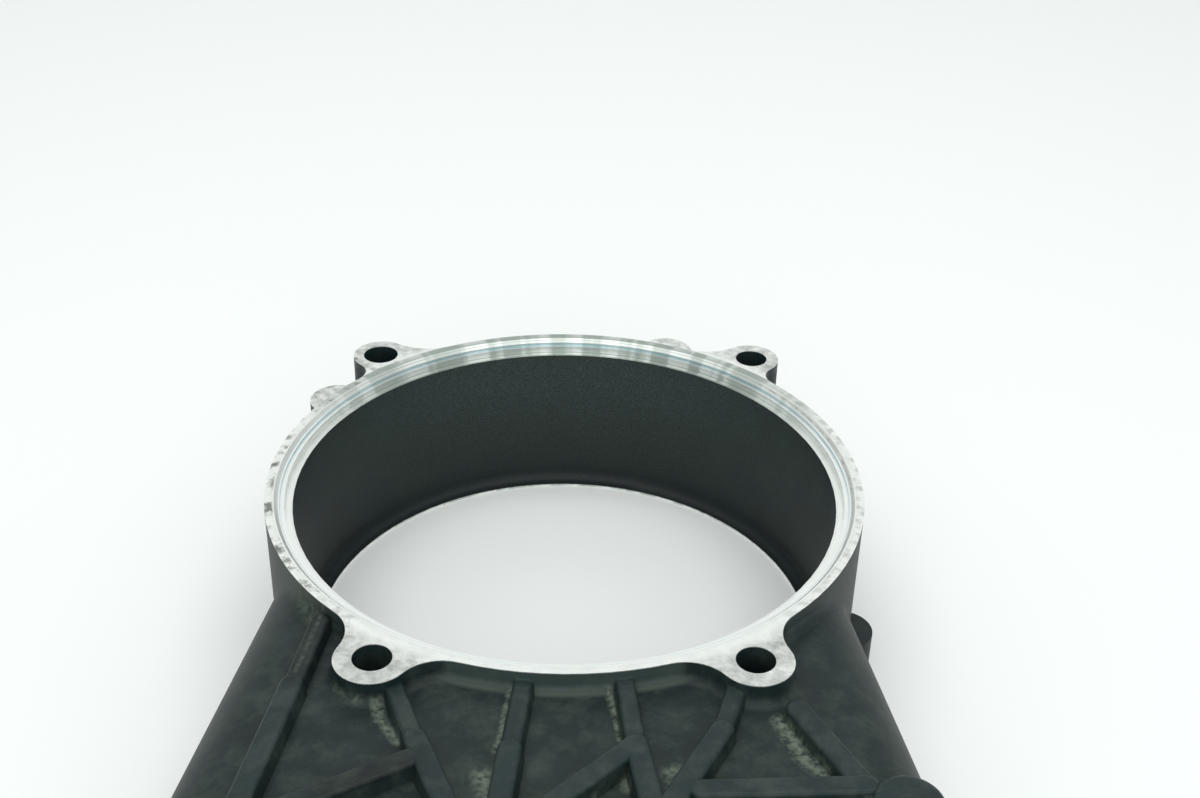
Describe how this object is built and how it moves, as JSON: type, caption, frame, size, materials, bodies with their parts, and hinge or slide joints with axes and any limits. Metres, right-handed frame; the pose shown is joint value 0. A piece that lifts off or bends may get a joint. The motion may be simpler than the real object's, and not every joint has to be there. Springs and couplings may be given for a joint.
{
  "type": "inner primary cover",
  "caption": "Cast inner primary cover: a stepped register ring with four bolt lugs on a ribbed housing that is open at the back for a chain drive.",
  "frame": {"origin": "centre of the register bore's mouth, 3.9 mm below the machined engine face", "axes": "+Z along the bore towards the engine, +Y away from the transmission end, +X across the cover"},
  "size_m": [0.224, 0.4428, 0.055],
  "materials": {
    "black_casting": "satin black powder coat on cast aluminium, bare machined metal on the register face",
    "bearing_steel": "ground hardened steel",
    "pressed_steel": "plain pressed sheet steel",
    "spring_steel": "dark phosphated spring steel",
    "seal_rubber": "matt black nitrile",
    "bronze": "sintered bronze, oiled"
  },
  "bodies": {
    "cover": {"cover_casting": "black_casting", "bearing_outer_ring": "bearing_steel", "bearing_retaining_ring": "spring_steel", "seal_case": "pressed_steel", "seal_lip": "seal_rubber", "seal_spring": "spring_steel", "starter_shaft_bushing": "bronze"},
    "inner_ring": {"bearing_inner_ring": "bearing_steel"},
    "ball_set": {"bearing_balls": "bearing_steel", "bearing_cage": "pressed_steel"}
  },
  "joints": [
    {"name": "mainshaft_turn", "type": "hinge", "parent": "cover", "child": "inner_ring", "pos_m": [-0.004, -0.243, -0.0176], "axis": [0, 0, 1], "continuous": true},
    {"name": "ball_set_turn", "type": "hinge", "parent": "cover", "child": "ball_set", "pos_m": [-0.004, -0.243, -0.0176], "axis": [0, 0, 1], "continuous": true}
  ],
  "couplings": [
    {"joint": "ball_set_turn", "follows": "mainshaft_turn", "ratio": 0.3978}
  ]
}
